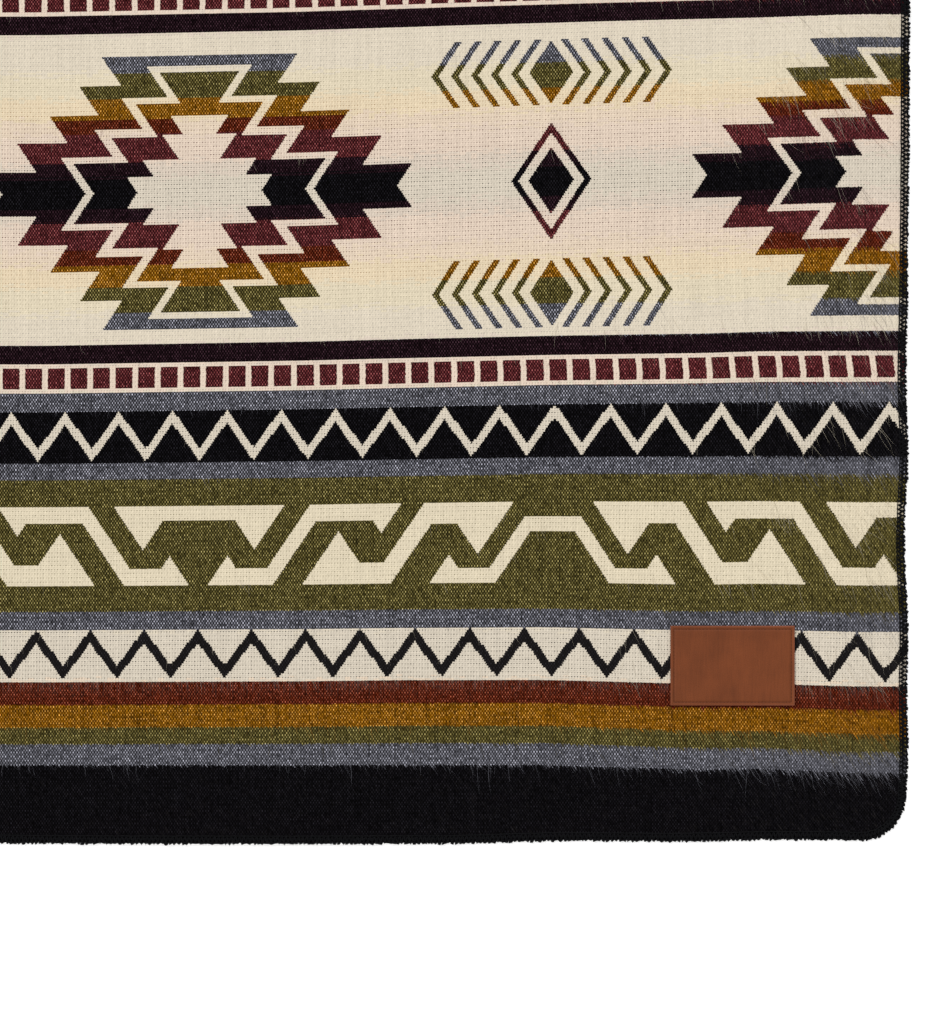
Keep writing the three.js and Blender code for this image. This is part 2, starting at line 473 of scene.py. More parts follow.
def cream_shows(column, row):
    """Whether the cream yarn lies on the face, by columns and by rows from the nearer end."""
    wave = zigzag_wave(column)
    side = fold_columns(column)
    dark = abs(row - (DARK_ZIGZAG["peak"] - DARK_ZIGZAG["fall"] * wave)) < DARK_ZIGZAG["half"]
    end = between(row, *DARK_ZIGZAG["band"]) & ~dark

    up = meander_row(row)
    core = abs(up)
    figure = meander(side, MEANDER_ROWS / 2 - 0.25 - up)
    pale = abs(core - (PALE_ZIGZAG["valley"] + PALE_ZIGZAG["rise"] * wave)) < PALE_ZIGZAG["half"]
    pale = pale & between(core, *PALE_ZIGZAG["band"])
    gap = (SQUARE["pitch"] - SQUARE["wide"]) / 2
    square = between((column - 1) % SQUARE["pitch"], gap, SQUARE["pitch"] - gap)
    square = square & between(core, *SQUARE["rows"])
    frame_of_squares = between(core, *SQUARE["band"]) & ~square
    in_core = core < CORE_ROWS
    core_cream = in_core & (figure | pale | frame_of_squares)

    out = star_row(row)
    motif = star(side, out) | small_figures(REPEAT / 2 - side, out)
    field = ~in_core & ~motif & (row > END_ROWS)
    return end | ((row > END_ROWS) & core_cream) | field


def flat_position(x, y):
    """Columns and rows of the weave at points of the throw, with the drift that pulled
    the weft out of line near the labelled corner."""
    up = y + LENGTH / 2
    from_axis = x - STAR_AXIS_X - np.interp(up, SWAY_UP, SWAY)
    from_axis -= np.interp(up, SWAY_UP, RIGHT_SWAY) * np.clip(from_axis / 420, 0, 1)
    root = np.sqrt(COLUMN ** 2 + 4 * COLUMN_GROWTH * np.maximum(from_axis, 0))
    column = np.where(from_axis > 0, (root - COLUMN) / (2 * COLUMN_GROWTH), from_axis / COLUMN)
    level = np.interp(up, CLIMB_UP, np.arange(len(CLIMB_UP)))
    climb = 0
    for i, heights in enumerate(CLIMB):
        share = np.clip(1 - np.abs(level - i), 0, 1)
        climb += share * np.interp(WIDTH / 2 - x, CLIMB_ACROSS, heights)
    return column, (up - climb) / ROW


def nap_at(x, y):
    """How much the brushing raised the wool: most along the sides, less at the ends."""
    side_reach, end_reach, end_share = 95, 70, 0.55
    side = np.exp(-(WIDTH / 2 - np.abs(x)) / side_reach)
    end = end_share * np.exp(-(LENGTH / 2 - np.abs(y)) / end_reach)
    patch = 0.5 + 0.5 * np.sin(0.031 * x + 1.3) * np.sin(0.027 * y + 0.4)
    return np.clip((side + end) * (0.75 + 0.5 * patch) + 0.05 * patch, 0, 1)


# Mesh making

def add_piece(name, points, faces, material, smooth=True):
    """An object at the origin, from points in millimetres and a list of arrays of faces."""
    mesh = bpy.data.meshes.new(name)
    corners = np.concatenate([part.ravel() for part in faces])
    sizes = np.concatenate([np.full(len(part), part.shape[1]) for part in faces])
    mesh.vertices.add(len(points))
    mesh.vertices.foreach_set("co", (points * MM).ravel())
    mesh.loops.add(len(corners))
    mesh.loops.foreach_set("vertex_index", corners.astype(np.int32))
    mesh.polygons.add(len(sizes))
    starts = np.concatenate([[0], np.cumsum(sizes)[:-1]])
    mesh.polygons.foreach_set("loop_start", starts.astype(np.int32))
    mesh.polygons.foreach_set("loop_total", sizes.astype(np.int32))
    mesh.polygons.foreach_set("use_smooth", np.full(len(sizes), smooth))
    mesh.update(calc_edges=True)
    mesh.validate()
    mesh.materials.append(material)
    piece = bpy.data.objects.new(name, mesh)
    bpy.context.scene.collection.objects.link(piece)
    return piece


def grid_quads(index):
    """The quads between the points of a grid, by their numbers."""
    corners = [index[:-1, :-1], index[:-1, 1:], index[1:, 1:], index[1:, :-1]]
    return np.stack(corners, -1).reshape(-1, 4)


def add_thin_body(name, top, under, faces, rim, material):
    """A closed body from its top and its underside, whose points match, and its rim."""
    count = len(top)
    after = np.roll(rim, -1)
    side = np.stack([rim, rim + count, after + count, after], 1)
    below = [part[:, ::-1] + count for part in faces]
    return add_piece(name, np.concatenate([top, under]), [*faces, *below, side], material)


def tube_rings(paths, reference, radii, sides, closed=False):
    """Rings of points round the paths of many tubes at once. reference is a direction that
    is never along them, and radii holds one radius for each ring."""
    if closed:
        tangent = np.roll(paths, -1, 1) - np.roll(paths, 1, 1)
    else:
        tangent = np.gradient(paths, axis=1)
    tangent /= np.linalg.norm(tangent, axis=2, keepdims=True)
    first = reference - (reference * tangent).sum(2, keepdims=True) * tangent
    first /= np.linalg.norm(first, axis=2, keepdims=True)
    second = np.cross(tangent, first)
    angle = 2 * np.pi * np.arange(sides) / sides
    circle = np.cos(angle)[:, None] * first[:, :, None] + np.sin(angle)[:, None] * second[:, :, None]
    radii = np.broadcast_to(radii, paths.shape[:2])
    return paths[:, :, None] + radii[:, :, None, None] * circle


def point_numbers(rings):
    return np.arange(rings.size // 3).reshape(rings.shape[:3])


def tube_walls(index, after):
    """The quads between rings, by their point numbers, and the rings after them."""
    quads = np.stack([index, np.roll(index, -1, 2), np.roll(after, -1, 2), after], -1)
    return quads.reshape(-1, 4)


def closed_tubes(paths, reference, radii, sides):
    """Points and faces of tubes that run back into themselves."""
    rings = tube_rings(paths, reference, radii, sides, closed=True)
    index = point_numbers(rings)
    return rings.reshape(-1, 3), [tube_walls(index, np.roll(index, -1, 1))]


def open_tubes(paths, reference, radii, sides):
    """Points and faces of tubes with flat ends."""
    rings = tube_rings(paths, reference, radii, sides)
    index = point_numbers(rings)
    walls = tube_walls(index[:, :-1], index[:, 1:])
    return rings.reshape(-1, 3), [walls, index[:, 0, ::-1], index[:, -1]]


def pointed_tubes(paths, reference, radii, sides):
    """Points and faces of tubes that end in a point."""
    rings = tube_rings(paths, reference, radii, sides)[:, :-1]
    index = point_numbers(rings)
    walls = tube_walls(index[:, :-1], index[:, 1:])
    last = index[:, -1]
    tip = np.repeat(index.size + np.arange(len(paths)), sides).reshape(-1, sides)
    cone = np.stack([last, np.roll(last, -1, 1), tip], -1).reshape(-1, 3)
    points = np.concatenate([rings.reshape(-1, 3), paths[:, -1]])
    return points, [walls, index[:, 0, ::-1], cone]


def join(parts):
    """One set of points and faces from several."""
    starts = np.cumsum([0] + [len(points) for points, _ in parts])
    faces = [part + start for (_, faces), start in zip(parts, starts) for part in faces]
    return np.concatenate([points for points, _ in parts]), faces


# The cloth

def cloth_plan():
    """Points and faces of the cloth seen from above, and its rim's point numbers."""
    xs, ys = (np.linspace(-half, half, round(2 * half / CELL) + 1) for half in (INNER_X, INNER_Y))
    grid = np.stack(np.meshgrid(xs, ys), -1).reshape(-1, 2)
    index = np.arange(len(grid)).reshape(len(ys), len(xs))
    faces = [grid_quads(index)]

    base = STATIONS[:, :2]
    column, row = (np.searchsorted(line, at - CELL / 2) for line, at in zip((xs, ys), base.T))
    ring = index[row, column]
    rim = rim_points(CUT_EDGE_IN)
    points = [grid]
    border = np.linspace(0, 1, BORDER_RINGS + 1)[1:]
    for i, share in enumerate(border):
        next_ring = len(grid) + i * len(rim) + np.arange(len(rim))
        points.append(base + (rim - base) * share)
        quads = np.stack([ring, next_ring, np.roll(next_ring, -1), np.roll(ring, -1)], 1)
        fan = quads[:, 0] == quads[:, 3]
        faces.append(quads[~fan])
        faces.append(quads[fan][:, :3])
        ring = next_ring
    return np.concatenate(points), faces, ring


def pinch(x, y):
    """1 at the cut edge, where the yarn holds the cloth, and 0 from the overlock inwards."""
    beyond = np.hypot(np.maximum(np.abs(x) - INNER_X, 0), np.maximum(np.abs(y) - INNER_Y, 0))
    inside = CORNER_RADIUS - beyond
    margin, slope = 1, 3
    return np.clip((OVERLOCK_WIDTH + margin - inside) / slope, 0, 1)


def face_height(x, y):
    """The height of the cloth's face over the surface that it lies on."""
    held = pinch(x, y)
    thickness = CLOTH_THICKNESS + (PINCHED_LIFT + PINCHED_THICKNESS - CLOTH_THICKNESS) * held
    return lift(x, y) + thickness + cockle(x, y) * (1 - held)


def make_cloth(material):
    """The woven cloth as one closed thin body, with its weave's position at each point."""
    plan, faces, rim = cloth_plan()
    x, y = plan.T
    top = np.column_stack([x, y, face_height(x, y)])
    under = np.column_stack([x, y, lift(x, y) + PINCHED_LIFT * pinch(x, y)])
    cloth = add_thin_body("cloth_sheet", top, under, faces, rim, material)

    column, row = flat_position(x, y)
    on_face = np.arange(2 * len(plan)) < len(plan)
    place = np.column_stack([np.tile(column, 2), np.tile(row, 2), on_face])
    weave = cloth.data.attributes.new("weave", "FLOAT_VECTOR", "POINT")
    weave.data.foreach_set("vector", place.astype(np.float32).ravel())
    nap = cloth.data.attributes.new("nap", "FLOAT", "POINT")
    nap.data.foreach_set("value", np.tile(nap_at(x, y), 2).astype(np.float32))
    lay_out_bake_map(cloth.data, plan)
    return cloth


def lay_out_bake_map(mesh, plan):
    """A map that gives most of its room to the cloth's face."""
    corners = np.zeros(len(mesh.loops), np.int32)
    mesh.loops.foreach_get("vertex_index", corners)
    totals = np.zeros(len(mesh.polygons), np.int32)
    mesh.polygons.foreach_get("loop_total", totals)
    above = corners < len(plan)
    share = np.repeat(np.add.reduceat(above, np.cumsum(totals) - totals) / totals, totals)[:, None]
    margin, under_size, edge_low, edge_size = 0.004, 0.27, 0.35, 0.6
    scale = (1 - 2 * margin) / LENGTH
    from_corner = plan[corners % len(plan)] + [WIDTH / 2, LENGTH / 2]
    face = margin + from_corner * scale
    offset = [WIDTH * scale + 3 * margin, margin]
    under = offset + from_corner * scale * under_size
    edge = np.stack([offset[0] + 0.5 * margin * above,
                     edge_low + edge_size * from_corner[:, 1] / LENGTH], 1)
    uv = np.where(share == 1, face, np.where(share == 0, under, edge))
    layer = mesh.uv_layers.new(name="OFBake")
    layer.data.foreach_set("uv", uv.astype(np.float32).ravel())


# The overlocked edge

STITCH = 2.73

# The yarns' routes for one stitch: along the edge in stitches, distance in from the outline,
# height over the cloth's underside, and radius
ZIGZAG_ROUTE = [(0.0, 5.0, CLOTH_THICKNESS + 0.3, 0.72), (0.25, 3.4, EDGE_THICKNESS - 0.6, 0.66),
                (0.5, 1.9, EDGE_THICKNESS - 0.65, 0.74), (0.75, 3.4, EDGE_THICKNESS - 0.6, 0.66)]
EDGE_ROUTE = [(0.0, 1.1, 1.75, 0.7), (0.33, 0.95, 1.75, 1.3), (0.67, 1.0, 1.75, 1.25)]
UNDER_ROUTE = [(0.0, 5.0, 0.5, 0.5), (0.5, 1.6, 0.55, 0.55)]
NEEDLE_ROUTE = [(0.0, 5.45, CLOTH_THICKNESS + 0.35, 0.42), (0.5, 5.25, CLOTH_THICKNESS + 0.2, 0.5)]
UNDER_NEEDLE_ROUTE = [(0.0, 5.3, 0.45, 0.42), (0.5, 5.1, 0.5, 0.36)]


def run_yarn(edge, route, sides, random, unevenness):
    """A yarn that repeats its route in every stitch, all round the throw. The unevenness
    moves it in and out, along the edge a little, and swells it."""
    count = round(edge.length / STITCH)
    pitch = edge.length / count
    share, inward, height, radius = np.array(route).T
    luck_in = np.clip(random.normal(0, unevenness, (count, len(route))), -0.6, 0.6)
    luck_size = np.clip(random.normal(0, unevenness, (count, len(route))), -0.3, 0.3)
    along = (np.arange(count)[:, None] + share + 0.15 * luck_in) * pitch
    path = edge.point(along, inward + 0.8 * luck_in, height).reshape(1, -1, 3)
    radii = (radius * (1 + 0.8 * luck_size)).reshape(1, -1)
    return closed_tubes(path, UP, radii, sides)


def make_wraps(edge, material):
    """The looper yarn: it zigzags over the face and lies in a full bump at each stitch."""
    random = np.random.default_rng(SEED)
    parts = [run_yarn(edge, ZIGZAG_ROUTE, 5, random, 0.15),
             run_yarn(edge, EDGE_ROUTE, 6, random, 0.65)]
    return add_piece("overlock_wraps", *join(parts), material)


def make_edge_lines(edge, material):
    """The needle lines on both faces, and the looper yarn on the underside."""
    random = np.random.default_rng(SEED + 3)
    parts = [run_yarn(edge, route, 3, random, 0.1)
             for route in (NEEDLE_ROUTE, UNDER_ROUTE, UNDER_NEEDLE_ROUTE)]
    return add_piece("overlock_lines", *join(parts), material)


# Loose fibres

# Short ones lie at all borders of the pattern, long ones where the wool was brushed. The
# length and the chances that a fibre is kept, if it reaches over another colour or else, are
# a value without nap and what full nap adds. The thickness is a range, and "most" is how
# many fibres a yarn has at most. They are combed to a turn, in degrees from +X
SHORT_FIBRES = {"tries": 900000, "segments": 2, "length": (3.0, 3.0), "thickness": (0.03, 0.06),
                "crossing": (0.3, 0.0), "else": (0.002, 0.01), "most": 10000}
LONG_FIBRES = {"tries": 500000, "segments": 3, "length": (4.0, 14.0), "thickness": (0.045, 0.09),
               "crossing": (0.0, 0.65), "else": (0.0, 0.08), "most": 4700}
LENGTH_LIMITS = (1, 22)
COMBED = {"turn": -86, "nap": 36, "stray": 14, "bend": 0.3}
# The share of the fibres at the edge that the edge yarn leaves free, and so lie over it
FREE_AT_EDGE = 0.06
# The cream yarn's number, how readily the fibres of each yarn show over another colour, and
# how readily any do over the cream
CREAM = list(YARNS).index("cream")
SHOWN = np.array([0.4, 0.4, 0.7, 0.7, 1.0, 0.7, 1.1, 1.5])
SHOWN_OVER_CREAM = 0.12


def yarn_at(x, y):
    """The number of the yarn that shows at points of the face."""
    column, row = flat_position(x, y)
    row = fold_rows(row)
    ends, yarns = zip(*all_bands())
    numbers = np.array([list(YARNS).index(yarn) for yarn in yarns])
    band = np.minimum(np.searchsorted(ends, band_place(row)), len(ends) - 1)
    return np.where(cream_shows(column, row), CREAM, numbers[band])


def comb(random, kind, x, y, nap):
    """The fibres' paths from their roots, combed down and to the right, and their lengths."""
    low, more = kind["length"]
    length = np.clip(random.gamma(3.5, 0.29, len(x)) * (low + more * nap), *LENGTH_LIMITS)
    stray = random.normal(0, COMBED["stray"], len(x))
    turn = np.radians(COMBED["turn"] + COMBED["nap"] * nap + stray)
    bend = random.normal(0, COMBED["bend"], len(x))
    segments = kind["segments"]
    x, y = [x], [y]
    for i in range(segments):
        heading = turn + bend * (i / (segments - 1) - 0.5)
        x.append(x[-1] + length / segments * np.cos(heading))
        y.append(y[-1] + length / segments * np.sin(heading))
    return np.array(x), np.array(y), length


def lay_fibres(random, kind):
    """The paths of the loose fibres of one kind, and each one's yarn."""
    count = kind["tries"]
    x, y = (random.uniform(-1, 1, count) * (size / 2 - OVERLOCK_WIDTH) for size in (WIDTH, LENGTH))
    nap = nap_at(x, y)
    crossing, other = (low + more * nap for low, more in (kind["crossing"], kind["else"]))
    draw = random.uniform(0, 1, count)
    likely = draw < np.maximum(SHOWN.max() * crossing, other)
    x, y, nap, draw, crossing, other = np.array([x, y, nap, draw, crossing, other])[:, likely]

    x, y, length = comb(random, kind, x, y, nap)
    yarn, over = yarn_at(x[0], y[0]), yarn_at(x[-1], y[-1])
    seen = np.where(over == CREAM, SHOWN_OVER_CREAM, SHOWN[yarn])
    keep = draw < np.where(yarn != over, crossing * seen, other)
    free = random.uniform(0, 1, len(keep)) < FREE_AT_EDGE
    keep &= (pinch(x[0], y[0]) == 0) & ((pinch(x[-1], y[-1]) < 0.9) | free)
    keep &= ~on_label(x[0], y[0]) & ~on_label(x[-1], y[-1])
    x, y = x.T[keep], y.T[keep]
    x, y = np.clip(x, 1 - WIDTH / 2, WIDTH / 2 - 1), np.clip(y, 1 - LENGTH / 2, LENGTH / 2 - 1)
    rise = random.uniform(0.1, 0.3, (len(x), 1)) + 0.015 * length[keep, None]
    share = np.linspace(0, 1, kind["segments"] + 1)
    z = face_height(x, y) + rise * np.sin(np.pi * share ** 0.8) + 0.12 * share - 0.06
    z = np.where(pinch(x, y) > 0, lift(x, y) + EDGE_THICKNESS + 0.2, z)
    return np.stack([x, y, z], -1), yarn[keep]


def on_label(x, y):
    margin = 0.5
    at = np.stack([x, y], -1)
    return ((at > LABEL_LOW[:2] - margin) & (at < LABEL_HIGH[:2] + margin)).all(-1)


def make_fibres():
    """One piece of loose fibres for each yarn."""
    random = np.random.default_rng(SEED + 1)
    across = np.array([1.0, 0.35, 0.1])
    thin_end = 0.3
    laid = [(kind, *lay_fibres(random, kind)) for kind in (SHORT_FIBRES, LONG_FIBRES)]
    pieces = []
    for number, (name, color) in enumerate(YARNS.items()):
        parts = []
        for kind, paths, yarn in laid:
            mine = np.flatnonzero(yarn == number)[:kind["most"]]
            taper = np.linspace(1, thin_end, kind["segments"] + 1)
            thickness = random.uniform(*kind["thickness"], (len(mine), 1)) * taper
            parts.append(pointed_tubes(paths[mine], across, thickness, 3))
        pieces.append(add_piece(f"fibres_{name}", *join(parts), fibre_material(name, color), smooth=False))
    return pieces


# The label

GROOVE_IN = 2.2


def make_label(material):
    """The leather label: its face is pressed in along a line near its edge."""
    low, high = LABEL_LOW, LABEL_HIGH
    thickness = high[2] - low[2]
    profile_in = np.array([0, 0.12, 0.4, 1.2, GROOVE_IN - 0.35, GROOVE_IN - 0.12, GROOVE_IN + 0.12,
                           GROOVE_IN + 0.35, 4.0, 40.0])
    profile_up = thickness + np.array([-0.28, -0.1, 0, 0, -0.02, -0.2, -0.2, -0.02, 0.02, 0.03])

    def lines(start, end):
        middle = np.linspace(start + 6, end - 6, int((end - start) / 4))
        return np.concatenate([start + profile_in[:-1], middle, (end - profile_in[:-1])[::-1]])

    xs, ys = lines(low[0], high[0]), lines(low[1], high[1])
    x, y = (part.ravel() for part in np.meshgrid(xs, ys))
    inside = np.minimum.reduce([x - low[0], high[0] - x, y - low[1], high[1] - y])
    up = np.interp(inside, profile_in, profile_up)
    uneven = 0.05 * np.sin(0.21 * x + 0.6) * np.sin(0.17 * y)
    index = np.arange(len(x)).reshape(len(ys), len(xs))
    loop = np.concatenate([index[0, :-1], index[:-1, -1], index[-1, :0:-1], index[:0:-1, 0]])
    top = np.column_stack([x, y, low[2] + up + uneven])
    bottom = np.column_stack([x, y, np.full_like(x, low[2])])
    return add_thin_body("label_leather", top, bottom, [grid_quads(index)], loop, material)


def make_label_stitches(material):
    """Short stitches lying in the pressed line."""
    low, high = LABEL_LOW + GROOVE_IN, LABEL_HIGH - GROOVE_IN
    pitch, stitch, radius = 2.2, 1.7, 0.13
    height = LABEL_HIGH[2] - 0.2 + radius * 0.6
    corners = np.array([[low[0], low[1]], [high[0], low[1]], [high[0], high[1]], [low[0], high[1]]])
    paths = []
    for start, end in zip(corners, np.roll(corners, -1, 0)):
        run = np.linalg.norm(end - start)
        way = (end - start) / run
        count = int(run / pitch)
        for i in range(count):
            middle = start + way * (i + 0.5) * run / count
            half = way * stitch / 2
            drops = [(-1, -0.25), (-0.7, 0), (0.7, 0), (1, -0.25)]
            paths.append([[*(middle + half * share), height + drop] for share, drop in drops])
    parts = open_tubes(np.array(paths), UP, np.array([0.7, 1, 1, 0.7]) * radius, 6)
    return add_piece("label_stitches", *parts, material)


# Materials

def new_material(name, roughness, specular, sheen=0.0):
    """A material and its shader, with what is the same all over set on the shader."""
    material = bpy.data.materials.new(name)
    material.use_nodes = True
    tree = material.node_tree
    shader = next(node for node in tree.nodes if node.type == "BSDF_PRINCIPLED")
    shader.inputs["Roughness"].default_value = roughness
    shader.inputs["Specular IOR Level"].default_value = specular
    shader.inputs["Sheen Weight"].default_value = sheen
    shader.inputs["Sheen Roughness"].default_value = 0.45
    return material, tree, shader


def parts_of(tree, socket):
    """The three numbers of a vector, as fields."""
    return [Field(tree, part) for part in add_node(tree, "SeparateXYZ", {0: socket}).outputs]


def combine(x, y):
    return add_node(x.tree, "CombineXYZ", {0: x, 1: y}).outputs[0]


def noise(x, y, changes=(1.0, 1.0), detail=1.0):
    """Smooth noise about 0, from two coordinates and how often it changes along each."""
    place = combine(x * changes[0], y * changes[1])
    inputs = {"Vector": place, "Scale": 1.0, "Detail": detail}
    node = add_node(x.tree, "TexNoise", inputs, noise_dimensions="2D")
    return Field(x.tree, node.outputs["Fac"]) - 0.5


def luck(x, y):
    """A number from 0 to 1 for each cell."""
    node = add_node(x.tree, "TexWhiteNoise", {"Vector": combine(x, y)}, noise_dimensions="2D")
    return Field(x.tree, node.outputs["Value"])


def smooth_step(value, low, high):
    inputs = {"Value": value, "From Min": low, "From Max": high}
    node = add_node(value.tree, "MapRange", inputs, interpolation_type="SMOOTHSTEP")
    return Field(value.tree, node.outputs["Result"])


def wave(value):
    return (value * (2 * np.pi)).apply("COSINE")


def mix(share, a, b):
    """A colour between two."""
    return add_node(share.tree, "Mix", {0: share, 6: a, 7: b}, data_type="RGBA").outputs[2]


def scale_color(color, gain):
    """A colour made brighter or darker by a field."""
    inputs = {0: color, "Scale": gain}
    return add_node(gain.tree, "VectorMath", inputs, operation="SCALE").outputs[0]


def saturate(color, hue, strength):
    """A colour turned in hue, from 0.5 as no turn, and made stronger or greyer."""
    inputs = {"Color": color, "Hue": hue, "Saturation": strength}
    return add_node(hue.tree, "HueSaturation", inputs).outputs[0]


def band_colors(place, colors):
    """The colour of the band at a place on the bands' common scale."""
    bands = all_bands()
    color = colors[bands[0][1]]
    for (end, _), (_, yarn) in zip(bands, bands[1:]):
        color = mix(place > end, color, colors[yarn])
    return color


def add_bump(shader, height, distance):
    bump = add_node(height.tree, "Bump", {"Distance": distance * MM, "Height": height})
    height.tree.links.new(bump.outputs[0], shader.inputs["Normal"])


def halves(value):
    """The middle of the half cell of the weave that a place is in."""
    return floor(value * 2) / 2 + 0.25


# Each kind of noise, by how often it changes: streaks and hairs for each mm along and across
# the brushing, whose direction is a cosine and a sine, and the rest for each column and row
BRUSHED = (0.55, -0.83)
STREAKS = (0.13, 1.5)
HAIRS = (0.08, 1.3)
SPECKLES = (1.3, 1.3)
MOTTLES = (0.35, 0.35)
MOTTLE_SLANT = 4 / 7
WARP_STREAKS = (0.8, 0.05)
WARP_BLOTCHES = (0.13, 0.03)
WEFT_STREAKS = (0.03, 0.9)
PALE_HAIRS = (2.3, 0.22)

# How far the yarns stray, in columns and rows, with a part that full nap adds
STRAY = {"column": 0.1, "nap column": 0.3, "tooth": 0.3, "row": 0.15, "nap row": 0.5,
         "hairs": 8, "streak": 0.4, "swapped rows": 1.4, "tint": 3}

# How much each kind of unevenness changes the yarns' brightness
UNEVEN = {"warp": 0.6, "blotches": 0.3, "weft": 0.4, "ribs": 0.22, "mottles": 0.7,
          "speckles": 1.9, "hairs": 1.6, "least": 0.35}

# The coloured yarn's dots and holes: what they do to brightness, also with luck, to the hue
# of warm yarns and to how strong the colour is. WARM turns a yarn's redness into warmth,
# GROUND is the brightness between them, and full nap hides a share of them
DOT = {"gain": 0.1, "luck": 4.5, "hue": 0.06, "strength": -0.14}
HOLE = {"gain": 0.92, "luck": 0.08, "hue": -0.05, "strength": 0.15}
WARM = 2.6
GROUND = 0.92
NAP_HIDES = 0.5

# Pale fuzz on the coloured yarn: everywhere, from the nap, where it is partly painted sheen,
# from hairs on the rows below the cream band, and on the black zigzag
FUZZ_AND_SHEEN = {"least": 0.003, "nap": 0.04, "hairs": 0.1, "zigzag": 0.018}
HAIR_ROWS = (34.5, 39)

# The cream's brightness, and the gaps in it that show the yarn behind
PALE = {"ground": 0.785, "uneven": 0.24, "speckles": 0.26}
GAPS = {"least": 0.14, "luck": 0.4, "weft": 0.05, "warp": 0.03, "behind": 0.9, "nap": 0.4}


class Weave:
    """The places and the unevenness of the weave, as fields over the cloth."""

    def __init__(self, tree):
        place = add_node(tree, "Attribute", {}, attribute_name="weave").outputs["Vector"]
        column, row, self.face = parts_of(tree, place)
        self.column, self.row = column, row
        nap = add_node(tree, "Attribute", {}, attribute_name="nap").outputs["Fac"]
        self.nap = Field(tree, nap)

        x, y = column * COLUMN, row * ROW
        c, s = BRUSHED
        along, across = x * c + y * s, y * c - x * s
        self.streak = noise(along, across, STREAKS, detail=2.0)
        self.hairs = noise(along, across, HAIRS)
        self.tooth = luck(floor(column * 0.5), floor(row * 2)) - 0.5
        self.drawn_row = row + self.streak * (self.nap * STRAY["nap row"] + STRAY["row"])
        self.shown_row = fold_rows(halves(self.drawn_row))

        self.speckle = noise(column, row, SPECKLES)
        blotches = noise(column, row, WARP_BLOTCHES) * UNEVEN["blotches"]
        warp = noise(column, row, WARP_STREAKS) + blotches
        weft = noise(column, row, WEFT_STREAKS)
        self.uneven = 1 + warp * UNEVEN["warp"] + weft * UNEVEN["weft"]
        self.lattice = wave(column) * wave(row)
        self.near_star = ~smooth_step(star_row(fold_rows(row)), 5.0, 30.0)


def cream_share(weave):
    """Where the cream yarn lies on this side of the cloth: the underside has the reverse."""
    shift = weave.streak * (weave.nap * STRAY["nap column"] + STRAY["column"])
    column = halves(weave.column + shift + weave.tooth * STRAY["tooth"])
    cream = cream_shows(column, weave.shown_row)
    return pick(weave.face > 0.5, cream, 1 - cream)


def band_yarn(weave):
    """The colour of the band's yarn. Brushed hairs of it hang over the next band, and near
    the stars single rows of two bands change places."""
    row_luck = luck(floor(weave.row * 2), floor(weave.row * 2)) - 0.5
    overhang = (weave.hairs | 0.0) * weave.nap * STRAY["hairs"]
    overhang = overhang + weave.streak * weave.nap * STRAY["streak"]
    swapped = row_luck * weave.near_star * STRAY["swapped rows"]
    row = fold_rows(weave.drawn_row + overhang + swapped)
    return band_colors(band_place(row), YARNS)


def pale_fuzz_and_sheen(weave):
    """The share of pale fuzz over the coloured yarn, partly painted sheen where the nap is raised."""
    row = fold_rows(weave.drawn_row)
    under_cream = smooth_step(row, *HAIR_ROWS) * (row < HAIR_ROWS[1])
    hairs = smooth_step(noise(weave.column, weave.row, PALE_HAIRS), -0.05, 0.2)
    # Where the nap is raised, a pale haze: partly stray fibres, partly painted sheen
    fuzz = smooth_step(weave.streak, 0.05, 0.35) * weave.nap * FUZZ_AND_SHEEN["nap"]
    fuzz = fuzz + hairs * under_cream * FUZZ_AND_SHEEN["hairs"] + FUZZ_AND_SHEEN["least"]
    return fuzz + between(row, *DARK_ZIGZAG["band"]) * FUZZ_AND_SHEEN["zigzag"]


def colored_face(weave, band):
    """The coloured yarn: bright dots and dark holes in turn, under some pale fuzz and painted sheen."""
    column, row, nap = weave.column, weave.row, weave.nap
    red, green, _ = parts_of(nap.tree, band)
    warmth = (red - green) * WARM
    chance = luck(floor(column * 2 + 0.5), floor(row * 2 + 0.5))
    bare = 1 - nap * NAP_HIDES
    dot = smooth_step(weave.lattice, 0.0, 1.0) * bare
    hole = smooth_step(weave.lattice, 0.5, -0.7) * bare * (1 - warmth)

    mottle = noise(column + row * MOTTLE_SLANT, row, MOTTLES)
    clumps = weave.uneven + wave(column) * UNEVEN["ribs"] + mottle * UNEVEN["mottles"]
    clumps = clumps + weave.speckle * UNEVEN["speckles"] + weave.hairs * nap * UNEVEN["hairs"]
    gain = (1 - hole * (HOLE["gain"] + chance * HOLE["luck"])) * GROUND
    gain = gain + dot * (DOT["gain"] + chance * DOT["luck"]) * (1 - warmth)
    hue = 0.5 + (dot * DOT["hue"] + hole * HOLE["hue"]) * warmth
    strength = 1 + hole * HOLE["strength"] + dot * chance * DOT["strength"]
    toned = saturate(band, hue, strength)
    colored = scale_color(toned, gain * (clumps | UNEVEN["least"]))
    return mix(pale_fuzz_and_sheen(weave), colored, PALE_DUST_AND_SHEEN)


def cream_face(weave, band):
    """The cream yarn, with small gaps through which the yarn behind it shows."""
    column, row = weave.column, weave.row
    tint_row = fold_rows(row + weave.tooth * STRAY["tint"])
    tint = band_colors(band_place(tint_row), CREAM_OVER)
    gain = weave.uneven * PALE["uneven"] + weave.speckle * PALE["speckles"] + PALE["ground"]
    pale = scale_color(tint, gain)

    core = abs(meander_row(weave.shown_row))
    behind = weave.near_star | between(weave.shown_row, *DARK_ZIGZAG["band"])
    behind = behind | between(core, *PALE_ZIGZAG["band"]) | (core < MEANDER_ROWS / 2 + 0.5) * 0.5
    chance = luck(floor(column + 0.5), floor(row * 2 + 0.5))
    gap = smooth_step(wave(column) + wave(row) * 0.4 + wave(row * 2) * 0.6, 0.5, 1.9)
    through = gap * (GAPS["least"] + chance * GAPS["luck"])
    through = through + smooth_step(wave(row * 2), 0.0, 1.0) * GAPS["weft"]
    through = through + smooth_step(wave(column), 0.2, 1.0) * GAPS["warp"]
    through = through * (behind * GAPS["behind"] + 1) * (1 - weave.nap * GAPS["nap"])
    return mix(through, pale, band)


